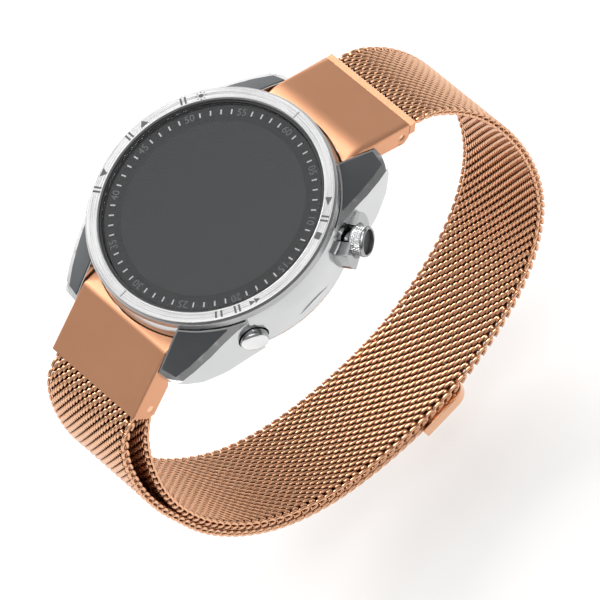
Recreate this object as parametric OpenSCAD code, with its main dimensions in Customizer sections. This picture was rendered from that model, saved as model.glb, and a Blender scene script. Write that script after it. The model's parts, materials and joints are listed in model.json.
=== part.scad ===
// Round sports watch with five side buttons on a woven-mesh loop strap.
// Frame: origin at the centre of the sensor window, where it rests on the wrist.
// +Z is out of the dial, +Y towards 12 o'clock, +X towards 3 o'clock. Millimetres.

/* [Watch head] */
// Radius of the case at its widest
case_r = 21; // [20.5:0.1:21.5]
// Outer radius of the bezel ring
bezel_r = 20.7; // [20.3:0.1:20.9]
// Inner radius of the bezel ring
bezel_in_r = 18.4; // [18.2:0.1:18.6]
// Height of the bezel's top above the wrist
head_h = 13.8; // [13.6:0.1:14.2]
// Radius of the lit area of the display
display_r = 15.2; // [14:0.1:15.6]
// Radius of the heart-rate window in the back
window_r = 9; // [7:0.5:9.5]

/* [Lugs] */
// Clear gap between the two lugs of a pair
lug_gap = 20.2; // [20.1:0.1:20.4]
// Distance of each lug pin from the centre
lug_pin_y = 21.9; // [21.6:0.1:22.1]
// Height of the lug pins
lug_pin_z = 5.4; // [5.2:0.1:5.6]
// Radius of the lug pins
lug_pin_r = 0.9; // [0.7:0.05:0.9]

/* [Buttons] */
// Height of the button axes
button_z = 6.9; // [6.7:0.1:7.1]
// Radius of a plain button cap
cap_r = 2.3; // [2.1:0.1:2.3]
// Radius of the knurled start button
knurl_r = 2.5; // [2.3:0.1:2.6]
// Radius of a button stem
stem_r = 0.8; // [0.6:0.05:0.8]
// Radial clearance of a stem in its bushing
stem_gap = 0.04; // [0.03:0.01:0.08]
// Inward travel of every button
travel = 0.6; // [0.3:0.1:0.6]

/* [Strap] */
// Width of the woven mesh
strap_w = 19; // [18:0.5:19]
// Thickness of the woven mesh
strap_t = 1.4; // [1.2:0.1:1.4]
// Distance between the centres of two layers that lie together
layer_gap = 1.55; // [1.5:0.01:1.6]
// Width of the strap adapters
adapter_w = 20; // [19.6:0.1:20]
// Thickness of the adapter blocks
adapter_t = 3.6; // [3.4:0.1:3.8]
// Downward slope of the adapter at 12 o'clock, degrees
slope_12 = 30; // [28:1:32]
// Downward slope of the adapter at 6 o'clock, degrees
slope_6 = 33; // [31:1:35]
// Length of the magnetic clasp plate
clasp_l = 10.4; // [9:0.2:11]

/* [Hidden] */
$fn = 96;

steel = "#d4d6d8";
slate = "#4a4d50";
rose = "#c08a66";

// dial angles, clockwise from 12 o'clock
start_a = 60;
back_a = 120;
down_a = 240;
up_a = 270;
light_a = 300;
plain_angles = [back_a, down_a, up_a, light_a];
button_angles = concat([start_a], plain_angles);

// heights of the stacked parts of the head
back_bottom = 0.7;
case_bottom = 2.2;
cavity_floor = 3;
case_top = 11.4;
ring_bottom = 11.6;
dial_top = 12.5;
lens_bottom = 12.55;
lens_top = 13.4;
cavity_r = 17.4;
lens_r = bezel_in_r - 0.3;
screw_circle = 15.9;
screw_angles = [42, 138, 222, 318];
port_y = -13;

// radial stations of a button, from the centre of the case
recess_floor = 19.4;
spring_h = 0.35;
cap_seat = recess_floor + spring_h + travel + 0.05;
plain_top = cap_seat + 1.5;
neck_top = cap_seat + 1.6;
knurl_top = cap_seat + 4.3;
stem_end = 15.2;
bushing_in = 16.9;
bushing_r = 1.5;
clip_t = 0.3;
clip_in_r = bushing_in - clip_t - 0.05;
switch_in = 12.4;

// lug surfaces: a shallow cone that starts at the bezel and falls outwards
lug_cone_z = 11.5;
lug_cone_fall = 0.86;
lug_tip_y = 24.4;
inlay_t = 0.7;

// strap adapters: the outer edge of each top plate, as [distance from centre, height]
edge_12 = [31.2, 3.9];
edge_6 = [32, 2];
adapter_6_t = adapter_t + 1;
// bend of each top plate, a little way out from the case
shoulder_y = 21.6;
shoulder_r_12 = 9;
shoulder_r_6 = 1.6;
cheek_t = 0.45;
pin_in = 1.4;
pin_down = 1.9;
pin_r = 0.5;
bar_in = 1.7;
bar_down = 3;
bar_r = 0.6;

// latches: a body in a recess of the underside, and a tongue below the lug pin
latch_w = 8;
latch_t = 1;
latch_travel = 1.2;
latch_gap = 0.15;
latch_spring_h = 0.2;
tongue_t = 0.6;
tongue_y = lug_pin_y - 0.1;
tongue_z = lug_pin_z - lug_pin_r - 0.1;
// end wall of each recess, back from the block's outer edge, and length of each body
latch_wall_12 = 3.5;
latch_wall_6 = 4.2;
latch_l_12 = 2.4;
latch_l_6 = 1.6;

// ---------------------------------------------------------------- helpers

// point on a smooth curve between p[1] and p[2], with t from 0 to 1
function curve_point(p, t) =
    0.5 * (2 * p[1] + (p[2] - p[0]) * t + (2 * p[0] - 5 * p[1] + 4 * p[2] - p[3]) * t * t
    + (3 * p[1] - p[0] - 3 * p[2] + p[3]) * t * t * t);

// the route through a list of points, with a number of steps between each two
function route(pts, steps) =
    let (last = len(pts) - 1,
         p = concat([2 * pts[0] - pts[1]], pts, [2 * pts[last] - pts[last - 1]]))
    concat(
        [for (i = [0 : last - 1], s = [0 : steps - 1])
            curve_point([p[i], p[i + 1], p[i + 2], p[i + 3]], s / steps)],
        [pts[last]]);

// unit normal of a route at point i, to the left of its direction
function side(path, i) =
    let (a = path[max(i - 1, 0)], b = path[min(i + 1, len(path) - 1)], d = (b - a) / norm(b - a))
    [-d[1], d[0]];

// the route moved sideways, to the left where d is positive
function beside(path, d) = [for (i = [0 : len(path) - 1]) path[i] + d * side(path, i)];

function reversed(list) = [for (i = [len(list) - 1 : -1 : 0]) list[i]];

// outline of a ribbon of thickness t along a route
function ribbon(path, t) = concat(beside(path, t / 2), reversed(beside(path, -t / 2)));

// half circle of points about a centre, from the side of a to the side of b
function half_turn(centre, r, a, b) =
    [for (t = [0 : 15 : 180]) centre + r * (cos(t) * a + sin(t) * b)];

// a Y-Z outline extruded along X, centred on X = 0
module across(w) {
    rotate([90, 0, 90]) translate([0, 0, -w / 2]) linear_extrude(w) children();
}

// turns children from the X axis to a dial angle
module at_dial(a) {
    rotate([0, 0, 90 - a]) children();
}

// a rod along X between two distances from the centre, at the button height
module radial_rod(r, x0, x1) {
    translate([x0, 0, button_z]) rotate([0, 90, 0]) cylinder(r = r, h = x1 - x0);
}

// an upright tube
module tube(r_out, r_in, z0, z1) {
    translate([0, 0, z0]) difference() {
        cylinder(r = r_out, h = z1 - z0);
        translate([0, 0, -1]) cylinder(r = r_in, h = z1 - z0 + 2);
    }
}

module disc(r, z0, z1) {
    translate([0, 0, z0]) cylinder(r = r, h = z1 - z0);
}

// a rod along X, centred, at [y, z]
module cross_rod(r, w, at) {
    translate([-w / 2, at[0], at[1]]) rotate([0, 90, 0]) cylinder(r = r, h = w);
}

// ---------------------------------------------------------------- strap route

// directions along and out of the top plate of the 6 o'clock adapter
along_6 = [-cos(slope_6), -sin(slope_6)];
out_6 = [-sin(slope_6), cos(slope_6)];
plate_edge_6 = [-edge_6[0], edge_6[1]];
bar_at = plate_edge_6 - bar_in * along_6 - bar_down * out_6;
fold_r = bar_r + 0.05 + strap_t / 2;

along_12 = [cos(slope_12), -sin(slope_12)];
out_12 = [sin(slope_12), cos(slope_12)];
hinge_at = edge_12 - pin_in * along_12 - pin_down * out_12;
clip_in = edge_12 + 0.2 * along_12 - 1.1 * out_12;

// the inner run leaves the end clip, goes round the wrist and comes up to the loop bar
inner_points = [
    clip_in + 1.3 * along_12, [36, -0.8], [40, -6.8], [42.8, -14], [44.5, -22.5], [45, -31],
    [44.2, -39.5], [41.8, -47], [37.2, -54], [31, -59.5], [23, -63.5], [13.5, -66],
    [4, -66], [-5.5, -64.3], [-14.2, -61], [-21.8, -55.6], [-28, -48], [-32.4, -39],
    [-34.7, -30], [-35.3, -22], [-34.4, -14], [-32.4, -6.8], bar_at - fold_r * out_6 + 1.2 * along_6
];
// inner points that the outer run lies against, from the left side down to the clasp
shared = [18, 17, 16, 15, 14, 13, 12, 11];
outer_points = concat(
    [bar_at + fold_r * out_6 + 1.2 * along_6, [-34.6, -1.8], [-36.6, -6.2], [-37.6, -11.8],
     [-37.9, -17.8], [-37.4, -24]],
    [for (i = shared) inner_points[i] + layer_gap * side(inner_points, i)]);

inner_route = route(inner_points, 4);
outer_route = route(outer_points, 4);

// the tail peels from the layer below it at this point of the outer run
peel_i = 4 * 10;
peel_at = outer_route[peel_i];
before_peel = outer_route[peel_i - 1];
back_from_peel = (before_peel - peel_at) / norm(before_peel - peel_at);
peel_gap = 0.2;
fixed_route = concat(
    inner_route,
    half_turn(bar_at, fold_r, -out_6, -along_6),
    [for (i = [0 : peel_i - 1]) outer_route[i]],
    [peel_at + (strap_t / 2 + peel_gap) * back_from_peel]);
// the woven end stops inside the clasp plate, which lies on the outside of the inner run
clasp_y = 5;
clasp_top = -67.1;
clasp_h = 2.3;
tail_end = [clasp_y + 1.9, -67.7];
tail_route = concat(
    [for (i = [peel_i : len(outer_route) - 1]) if (outer_route[i][0] < clasp_y) outer_route[i]],
    [tail_end]);

// ---------------------------------------------------------------- watch head

// plan outline of one lug, towards +X and +Y, with its flank bowed outwards
module lug_plan() {
    polygon([
        [lug_gap / 2, 10], [lug_gap / 2, lug_tip_y], [13, lug_tip_y - 0.3], [13.9, 23.4],
        [15.2, 20.6], [16.3, 17.6], [17.1, 14.6], [17.8, 12], [18.4, 10]
    ]);
}

// turned blank that the lugs are cut from, as radius and height
module lug_blank() {
    rotate_extrude() polygon([
        [19, case_bottom], [23.4, case_bottom + 0.1], [25.6, 3.2], [26.9, 4.8], [27.3, 6],
        [26.9, lug_top(26.9) - 0.15], [bezel_r, lug_top(bezel_r) - 0.15], [19, case_top - 0.3]
    ]);
}

// height of the inlay's surface at radius r
function lug_top(r) = lug_cone_z - lug_cone_fall * (r - bezel_r);

// copies children to all four lugs
module each_lug() {
    for (mx = [0, 1], my = [0, 1]) mirror([mx, 0, 0]) mirror([0, my, 0]) children();
}

module inlay_plan() {
    difference() {
        polygon([
            [lug_gap / 2 + 0.3, 12], [lug_gap / 2 + 0.3, 23.7], [12.9, 23.2], [14.2, 20.6],
            [15.5, 17], [16.6, 13]
        ]);
        circle(r = bezel_r + 0.25);
    }
}

// conical plate between the inlay's surface and a depth below it
module inlay_cone(depth) {
    rotate_extrude() polygon([
        [20, lug_top(20)], [29, lug_top(29)], [29, lug_top(29) - depth], [20, lug_top(20) - depth]
    ]);
}

module inlay_solid(depth) {
    intersection() {
        linear_extrude(15) inlay_plan();
        inlay_cone(depth);
    }
}

module case_body() {
    rotate_extrude() polygon([
        [cavity_r, case_bottom], [case_r - 1.6, case_bottom], [case_r - 0.7, 2.8], [case_r, 4.2],
        [case_r, 9], [case_r - 0.25, 10.3], [case_r - 0.7, case_top], [cavity_r, case_top]
    ]);
    each_lug() intersection() {
        linear_extrude(15) lug_plan();
        lug_blank();
    }
    // screw posts inside
    for (a = screw_angles) at_dial(a) intersection() {
        translate([screw_circle, 0, cavity_floor]) cylinder(r = 1.9, h = 3, $fn = 48);
        disc(cavity_r + 0.5, 0, 12);
    }
}

module mid_case() color(steel) difference() {
    case_body();
    for (a = button_angles) at_dial(a) {
        radial_rod(bushing_r, stem_end, recess_floor + 1);
        radial_rod(cap_r + 0.2, recess_floor, case_r + 2);
    }
    // shallow slot in the flank between the two right-hand buttons
    translate([case_r - 0.25, -3.6, 5.6]) cube([2, 7.2, 2.4]);
    for (y = [-lug_pin_y, lug_pin_y]) cross_rod(lug_pin_r, 24.4, [y, lug_pin_z]);
    each_lug() inlay_solid(inlay_t);
    for (a = screw_angles) at_dial(a)
        translate([screw_circle, 0, 2]) cylinder(r = 0.5, h = 3.6, $fn = 32);
    disc(17.2, 0, cavity_floor);
}

// a pair of short bars that marks a button on the bezel
module button_mark() {
    for (y = [-0.55, 0.2]) translate([18.9, y, head_h - 0.12]) cube([1.3, 0.35, 1]);
}

module bezel_ring() color(steel) difference() {
    rotate_extrude() polygon([
        [bezel_in_r, ring_bottom], [bezel_r - 0.3, ring_bottom], [bezel_r, ring_bottom + 0.4],
        [bezel_r, head_h - 0.5], [bezel_r - 0.35, head_h - 0.05], [bezel_r - 0.7, head_h],
        [bezel_in_r + 0.35, head_h], [bezel_in_r, head_h - 0.3]
    ]);
    for (a = button_angles) at_dial(a) button_mark();
    for (a = [0, 180]) at_dial(a) translate([bezel_in_r - 1, -0.1, head_h - 0.12])
        cube([3, 0.2, 1]);
}

module glass_lens() color("#3c3f41", 0.5) rotate_extrude() polygon([
    [0, lens_bottom], [lens_r, lens_bottom], [lens_r, lens_top - 0.25],
    [lens_r - 0.25, lens_top], [0, lens_top]
]);

module glass_gasket() color("#1a1a1b") tube(bezel_in_r, lens_r, lens_bottom, lens_top - 0.1);

module bezel_gasket() color("#1a1a1b") tube(bezel_r - 0.5, 17.9, case_top, ring_bottom);

module minute_ring() color("#3b3c3e") tube(bezel_in_r, display_r, ring_bottom, dial_top);

module display_panel() color("#505254") disc(display_r, 11.3, dial_top);

module display_frame() color("#2b2c2e") tube(16.7, 13.5, 9.9, 11.3);

module antenna_ring() color("#b08a3c") tube(cavity_r - 0.05, 16.75, 9.9, 11.2);

module main_board() color("#1f5a34") difference() {
    disc(16.6, 9, 9.8);
    for (a = [0, 90, 180, 270]) rotate(a) translate([15.8, 0, 8]) cylinder(r = 0.6, h = 3);
}

module board_chips() color("#222326") {
    translate([-9, -6, 8.2]) cube([7, 7, 0.8]);
    translate([1, -5, 8.3]) cube([5, 6, 0.7]);
    translate([-6, 4, 8.4]) cube([4, 3, 0.6]);
    translate([2.5, 4.5, 8.4]) cube([6, 3, 0.6]);
}

// switches whose plungers end where a pressed stem ends
module button_switches() color("#c9c9c4") for (a = button_angles) at_dial(a) {
    translate([switch_in, -1.5, button_z - 1]) cube([1.8, 3, 2.1]);
    radial_rod(0.6, switch_in + 1, stem_end - travel);
}

module battery() color("#9aa0a6") translate([-9.8, -8, cavity_floor + 0.4]) cube([19.6, 16, 4.2]);

module vibration_motor() color("#b9bcc0") translate([0, -13.1, cavity_floor + 0.4])
    cylinder(r = 2.9, h = 2.8);

module beeper() color("#c9a24a") translate([0, 13.1, cavity_floor + 0.4])
    cylinder(r = 2.9, h = 0.9);

module case_back() color("#3a3c3e") difference() {
    rotate_extrude() polygon([
        [0, back_bottom], [17.9, back_bottom], [18.9, 1.4], [18.9, case_bottom],
        [16.9, case_bottom], [16.9, 2.9], [0, 2.9]
    ]);
    disc(window_r + 0.05, 0, 4);
    for (a = screw_angles) at_dial(a) translate([screw_circle, 0, 0]) {
        cylinder(r = 0.55, h = 4, $fn = 32);
        cylinder(r = 1.05, h = 1.5, $fn = 32);
    }
    translate([-3.6, port_y - 1.8, 0]) cube([7.2, 3.6, 4]);
}

module back_gasket() color("#1a1a1b") tube(17.2, 16.9, case_bottom, 2.8);

module back_screws() color(steel) for (a = screw_angles) at_dial(a)
    translate([screw_circle, 0, 0]) difference() {
        union() {
            translate([0, 0, 0.8]) cylinder(r = 1, h = 0.7, $fn = 32);
            translate([0, 0, 1.5]) cylinder(r = 0.48, h = 3.8, $fn = 32);
        }
        translate([0, 0, 0.6]) cylinder(r = 0.45, h = 0.6, $fn = 6);
    }

module sensor_window() color("#151517") rotate_extrude() polygon([
    [0, 0], [window_r - 1, 0], [window_r, 0.7], [window_r, 1.6], [0, 1.6]
]);

module sensor_board() color("#1f5a34") disc(window_r - 0.6, 2.3, 2.8);

module sensor_leds() color("#8fd08a") {
    for (x = [-3.4, 3.4]) translate([x - 0.8, -0.8, 1.65]) cube([1.6, 1.6, 0.65]);
    translate([-1.3, -1.3, 1.65]) cube([2.6, 2.6, 0.65]);
}

module charge_port() color("#222224") difference() {
    translate([-3.6, port_y - 1.8, 0.9]) cube([7.2, 3.6, 2]);
    translate([-3, port_y - 1.2, 0]) cube([6, 2.4, 1.5]);
}

module charge_contacts() color("#d8b65a") for (x = [-2.25, -0.75, 0.75, 2.25])
    translate([x - 0.4, port_y - 0.6, 1.3]) cube([0.8, 1.2, 0.2]);

module lug_inlays() color(slate) each_lug() inlay_solid(inlay_t);

module lug_pins() color(steel) for (y = [-lug_pin_y, lug_pin_y])
    cross_rod(lug_pin_r, 24.4, [y, lug_pin_z]);

// ---------------------------------------------------------------- buttons

// two horns that stand beside the start button
module start_guard() color(steel) difference() {
    at_dial(start_a) difference() {
        intersection() {
            radial_rod(4.5, 19.8, 22.9);
            translate([19, -6, button_z - 2.4]) cube([6, 12, 4.8]);
        }
        radial_rod(2.85, 19, 24);
    }
    case_body();
}

module button_bushings() color("#b8a070") for (a = button_angles) at_dial(a) difference() {
    radial_rod(bushing_r, bushing_in, recess_floor - 0.4);
    radial_rod(stem_r + stem_gap, bushing_in - 1, recess_floor + 1);
}

module button_seals() color("#1a1a1b") for (a = button_angles) at_dial(a) difference() {
    radial_rod(bushing_r, recess_floor - 0.4, recess_floor);
    radial_rod(stem_r + 0.03, recess_floor - 1, recess_floor + 1);
}

// return springs, drawn at their solid height on the recess floor
module button_springs() color("#aeb1b5") for (a = button_angles) at_dial(a) difference() {
    radial_rod(1.6, recess_floor, recess_floor + spring_h);
    radial_rod(1.2, recess_floor - 1, recess_floor + 1);
}

module plain_button(a) color(steel) at_dial(a) {
    translate([0, 0, button_z]) rotate([0, 90, 0]) rotate_extrude() polygon([
        [0, stem_end], [stem_r, stem_end], [stem_r, cap_seat], [cap_r, cap_seat],
        [cap_r, plain_top], [cap_r - 0.3, plain_top + 0.35], [cap_r - 0.9, plain_top + 0.6],
        [0, plain_top + 0.7]
    ]);
}

module start_button() color(steel) at_dial(start_a) {
    translate([0, 0, button_z]) rotate([0, 90, 0]) rotate_extrude() polygon([
        [0, stem_end], [stem_r, stem_end], [stem_r, cap_seat], [1.9, cap_seat],
        [1.9, neck_top], [knurl_r - 0.2, neck_top], [knurl_r, neck_top + 0.2],
        [knurl_r, knurl_top - 0.4], [knurl_r - 0.3, knurl_top], [knurl_r - 0.7, knurl_top],
        [knurl_r - 0.9, knurl_top - 0.6], [0, knurl_top - 0.6]
    ]);
}

module back_button() plain_button(back_a);
module down_button() plain_button(down_a);
module up_button() plain_button(up_a);
module light_button() plain_button(light_a);

// retaining clip on a stem, just inside the bushing
module stem_clip(a) color("#8b8e92") at_dial(a) difference() {
    radial_rod(1.35, clip_in_r, clip_in_r + clip_t);
    radial_rod(stem_r, clip_in_r - 1, clip_in_r + 1);
    translate([clip_in_r - 1, -0.5, button_z]) cube([2, 1, 3]);
}

module start_clip() stem_clip(start_a);
module back_clip() stem_clip(back_a);
module down_clip() stem_clip(down_a);
module up_clip() stem_clip(up_a);
module light_clip() stem_clip(light_a);

// ---------------------------------------------------------------- strap adapters

// side outline of an adapter, from the case at the left to its outer edge
module adapter_outline(slope, edge, t, shoulder_r) {
    along = [cos(slope), -sin(slope)];
    out = [sin(slope), cos(slope)];
    foot = edge - t * out;
    // where the level stretch beside the case would meet the plate
    corner = [shoulder_y, edge[1] + (edge[0] - shoulder_y) * tan(slope)];
    polygon(concat(
        [[17, corner[1]]],
        shoulder(corner, slope, shoulder_r),
        [edge, edge - 0.3 * out + 0.15 * along, foot + 1 * out + 0.15 * along,
         foot - 0.7 * along, foot - 6 * along, [lug_pin_y + 1.6, lug_pin_z - 1.9],
         [lug_pin_y - 1.2, lug_pin_z - 1.9], [17, lug_pin_z]]));
}

// arc of radius r from the level line that ends at a corner to the slope that starts there
function shoulder(corner, slope, r) =
    let (centre = corner - [r * tan(slope / 2), r])
    [for (a = [0 : slope / 8 : slope + 0.01]) centre + r * [sin(a), cos(a)]];

// the block before its end is cut: bored for the lug pin, recessed for the latch, clear of the case
module adapter_block(slope, edge, t, shoulder_r, latch_l, wall) {
    difference() {
        across(adapter_w) adapter_outline(slope, edge, t, shoulder_r);
        disc(case_r + 0.15, -1, 16);
        cross_rod(lug_pin_r, adapter_w + 2, [lug_pin_y, lug_pin_z]);
        // mouth through which the block drops on to the pin
        translate([-adapter_w / 2 - 1, lug_pin_y - lug_pin_r, lug_pin_z - 4])
            cube([adapter_w + 2, 2 * lug_pin_r, 4]);
        latch_recess(slope, edge, t, latch_l, wall);
    }
}

module adapter_12() color(rose) difference() {
    adapter_block(slope_12, edge_12, adapter_t, shoulder_r_12, latch_l_12, latch_wall_12);
    // rebate for the end clip's knuckle, between two cheeks
    translate([0, edge_12[0], edge_12[1]]) rotate([-slope_12, 0, 0])
        translate([-7, -3.1, -adapter_t - 1]) cube([14, 4, adapter_t + 0.3]);
    cross_rod(pin_r, adapter_w + 2, hinge_at);
}

module adapter_6() color(rose) mirror([0, 1, 0]) difference() {
    adapter_block(slope_6, edge_6, adapter_6_t, shoulder_r_6, latch_l_6, latch_wall_6);
    // pocket for the folded strap, open below and at the end
    translate([0, edge_6[0], edge_6[1]]) rotate([-slope_6, 0, 0])
        translate([-adapter_w / 2 + cheek_t, 0.3 - latch_wall_6, -adapter_6_t - 2])
            cube([adapter_w - 2 * cheek_t, latch_wall_6 + 1, adapter_6_t + 1.2]);
    cross_rod(bar_r, adapter_w + 2, [-bar_at[0], bar_at[1]]);
}

// [Y, Z] of the inner end of a latch's body, on the block's underside, at rest
function latch_start(slope, edge, t, latch_l, wall) =
    edge - t * [sin(slope), cos(slope)]
    - (wall + latch_spring_h + latch_travel + latch_l) * [cos(slope), -sin(slope)];

// puts children at a latch's inner end: +Y along the slope, +Z into the block
module latch_place(slope, start) {
    translate([0, start[0], start[1]]) rotate([-slope, 0, 0]) children();
}

// sliding catch under an adapter, with a tongue that closes the mouth below the lug pin
module latch(slope, edge, t, latch_l, wall) {
    start = latch_start(slope, edge, t, latch_l, wall);
    along = [cos(slope), -sin(slope)];
    low = start + latch_gap * [sin(slope), cos(slope)];
    top = low + latch_t * [sin(slope), cos(slope)];
    across(latch_w) polygon([
        [tongue_y, tongue_z - tongue_t], [tongue_y, tongue_z], [tongue_y + 1.5, tongue_z],
        top, top + latch_l * along, low + latch_l * along, low + 0.8 * along,
        [tongue_y + 1, tongue_z - tongue_t]
    ]);
    // finger ribs
    latch_place(slope, start) for (back = [0.45, 0.9])
        translate([-3, latch_l - back, -0.15]) cube([6, 0.25, 0.4]);
}

// room for a latch over its whole travel
module latch_recess(slope, edge, t, latch_l, wall) {
    start = latch_start(slope, edge, t, latch_l, wall);
    depth = latch_t + 2 * latch_gap;
    w = latch_w + 4 * latch_gap;
    y_end = start[0] + depth * sin(slope) + latch_travel * cos(slope);
    translate([-w / 2, tongue_y - latch_gap, 0])
        cube([w, y_end - tongue_y + latch_gap, tongue_z + latch_gap]);
    latch_place(slope, start) translate([-w / 2, -latch_gap, -2])
        cube([w, latch_gap + latch_l + latch_travel + latch_spring_h, depth + 2]);
}

module latch_12() color(steel) latch(slope_12, edge_12, adapter_t, latch_l_12, latch_wall_12);

module latch_6() color(steel) mirror([0, 1, 0])
    latch(slope_6, edge_6, adapter_6_t, latch_l_6, latch_wall_6);

module latch_spring(slope, edge, t, latch_l, wall) {
    latch_place(slope, latch_start(slope, edge, t, latch_l, wall)) for (x = [-2.5, 2.5])
        translate([x, latch_l + latch_travel + latch_spring_h, latch_gap + latch_t / 2])
            rotate([90, 0, 0]) cylinder(r = 0.4, h = latch_spring_h, $fn = 24);
}

// latch springs, drawn at their solid height against the end of each recess
module latch_springs() color("#aeb1b5") {
    latch_spring(slope_12, edge_12, adapter_t, latch_l_12, latch_wall_12);
    mirror([0, 1, 0]) latch_spring(slope_6, edge_6, adapter_6_t, latch_l_6, latch_wall_6);
}

module hinge_pin() color(steel) cross_rod(pin_r, adapter_w - 0.4, hinge_at);

// clamp bar that holds the woven end, with a knuckle on the hinge pin
module end_clip() color(rose) difference() {
    union() {
        translate([0, edge_12[0], edge_12[1]]) rotate([-slope_12, 0, 0]) {
            translate([-adapter_w / 2, 0.25, -2.2]) cube([adapter_w, 2.1, 2.1]);
            translate([-6.85, -1.5, -2.4]) cube([13.7, 2.5, 1.2]);
        }
        cross_rod(1.15, 13.7, hinge_at);
    }
    cross_rod(pin_r, adapter_w, hinge_at);
    translate([0, edge_12[0], edge_12[1]]) rotate([-slope_12, 0, 0])
        translate([-strap_w / 2 - 0.05, 1.35, -1.25 - strap_t / 2]) cube([strap_w + 0.1, 2, strap_t + 0.3]);
}

module loop_bar() color(rose) cross_rod(bar_r, adapter_w, bar_at);

// ---------------------------------------------------------------- woven strap

module mesh_strap() color(rose) across(strap_w) polygon(ribbon(fixed_route, strap_t));

// the tail's first end is a bead about the line that it peels from
module mesh_tail() color(rose) {
    across(strap_w) polygon(ribbon(tail_route, strap_t));
    cross_rod(strap_t / 2 + 0.03, strap_w, peel_at);
}

// puts children on the clasp: origin at its near edge on the strap side
module clasp_place() {
    translate([0, clasp_y, clasp_top]) children();
}

// plan outline of the clasp with rounded outer corners
module clasp_plan(inset) {
    difference() {
        translate([-adapter_w / 2 + inset, inset])
            square([adapter_w - 2 * inset, clasp_l - 2 * inset]);
        for (s = [-1, 1]) translate([s * (adapter_w / 2 - 3), clasp_l - 3]) difference() {
            translate([s * 2 - 2, 0]) square([4, 4]);
            circle(r = 3 - inset);
        }
    }
}

module clasp_plate() color(rose) clasp_place() difference() {
    translate([0, 0, -clasp_h]) linear_extrude(clasp_h) clasp_plan(0);
    // slot that takes the woven end
    translate([-strap_w / 2 - 0.1, -1, -strap_t]) cube([strap_w + 0.2, 3.05, 5]);
    // pocket for the magnet, closed by the cover
    translate([-7.5, 3.2, -1.7]) cube([15, 5, 5]);
    translate([-8.3, 2.8, -0.5]) cube([16.6, 5.8, 5]);
}

module clasp_magnet() color("#8b8e92") clasp_place()
    translate([-7.5, 3.2, -1.7]) cube([15, 5, 1.2]);

module clasp_cover() color(rose) clasp_place()
    translate([-8.3, 2.8, -0.5]) cube([16.6, 5.8, 0.5]);

mid_case();
bezel_ring();
glass_lens();
glass_gasket();
bezel_gasket();
minute_ring();
display_panel();
display_frame();
antenna_ring();
main_board();
board_chips();
button_switches();
battery();
vibration_motor();
beeper();
case_back();
back_gasket();
back_screws();
sensor_window();
sensor_board();
sensor_leds();
charge_port();
charge_contacts();
lug_inlays();
lug_pins();
start_guard();
button_bushings();
button_seals();
button_springs();
start_button();
back_button();
down_button();
up_button();
light_button();
start_clip();
back_clip();
down_clip();
up_clip();
light_clip();
adapter_12();
adapter_6();
latch_12();
latch_6();
latch_springs();
hinge_pin();
end_clip();
loop_bar();
mesh_strap();
mesh_tail();
clasp_plate();
clasp_magnet();
clasp_cover();
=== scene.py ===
"""Looks of a round sports watch on a woven rose-gold loop strap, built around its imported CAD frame."""

import json
import math

import bmesh
import bpy
import numpy as np
from mathutils import Matrix, Vector


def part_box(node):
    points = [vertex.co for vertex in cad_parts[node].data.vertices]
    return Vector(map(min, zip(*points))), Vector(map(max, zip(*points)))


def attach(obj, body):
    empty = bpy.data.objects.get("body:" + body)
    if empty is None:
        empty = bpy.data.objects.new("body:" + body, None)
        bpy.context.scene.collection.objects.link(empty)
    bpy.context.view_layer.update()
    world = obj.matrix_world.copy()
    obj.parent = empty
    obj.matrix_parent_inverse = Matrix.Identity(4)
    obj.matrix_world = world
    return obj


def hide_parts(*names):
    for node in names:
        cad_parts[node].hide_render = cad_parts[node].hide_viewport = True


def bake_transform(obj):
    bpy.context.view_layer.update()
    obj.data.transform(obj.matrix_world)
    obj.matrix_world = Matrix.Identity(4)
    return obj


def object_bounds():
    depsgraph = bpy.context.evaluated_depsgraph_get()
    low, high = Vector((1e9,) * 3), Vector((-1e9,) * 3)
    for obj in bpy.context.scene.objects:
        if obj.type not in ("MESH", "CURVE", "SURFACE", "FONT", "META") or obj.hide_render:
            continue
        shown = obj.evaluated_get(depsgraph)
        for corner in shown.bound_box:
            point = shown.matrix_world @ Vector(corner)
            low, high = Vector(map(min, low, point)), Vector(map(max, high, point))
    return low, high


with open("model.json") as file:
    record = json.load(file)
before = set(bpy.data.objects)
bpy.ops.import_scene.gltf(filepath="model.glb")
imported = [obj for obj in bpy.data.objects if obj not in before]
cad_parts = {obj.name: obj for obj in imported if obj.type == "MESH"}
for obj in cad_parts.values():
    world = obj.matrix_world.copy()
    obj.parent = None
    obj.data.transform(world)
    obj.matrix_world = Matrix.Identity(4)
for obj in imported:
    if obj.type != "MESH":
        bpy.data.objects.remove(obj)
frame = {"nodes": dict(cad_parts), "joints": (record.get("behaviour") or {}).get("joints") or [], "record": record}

MM = 0.001
CAD_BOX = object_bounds()

# where a button's stem starts and ends, from the dial's centre, and its radius, in mm
STEM_ROOT, STEM_END, STEM_R = 15.3, 20.4, 0.8

# dial angles of the buttons, clockwise from 12 o'clock, in degrees
BUTTON_ANGLES = {"start": 60, "back": 120, "down": 240, "up": 270, "light": 300}


# ------------------------------------------------------------------ small helpers

def low(node):
    """Lowest corner of a CAD node, in mm."""
    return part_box(node)[0] / MM


def high(node):
    """Highest corner of a CAD node, in mm."""
    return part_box(node)[1] / MM


JOINTS = {joint["name"]: joint for joint in frame["joints"]}
BUTTON_Z = (low("up_button").z + high("up_button").z) / 2
BEZEL_IN = high("glass_gasket").x
DISPLAY_R = high("display_panel").x


def make_piece(name, verts, faces, material, smooth=True):
    """A mesh object from points in mm."""
    mesh = bpy.data.meshes.new(name)
    mesh.from_pydata([tuple(c * MM for c in v) for v in verts], [], faces)
    mesh.validate()
    mesh.materials.append(material)
    for polygon in mesh.polygons:
        polygon.use_smooth = smooth
    piece = bpy.data.objects.new(name, mesh)
    bpy.context.scene.collection.objects.link(piece)
    return piece


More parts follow.
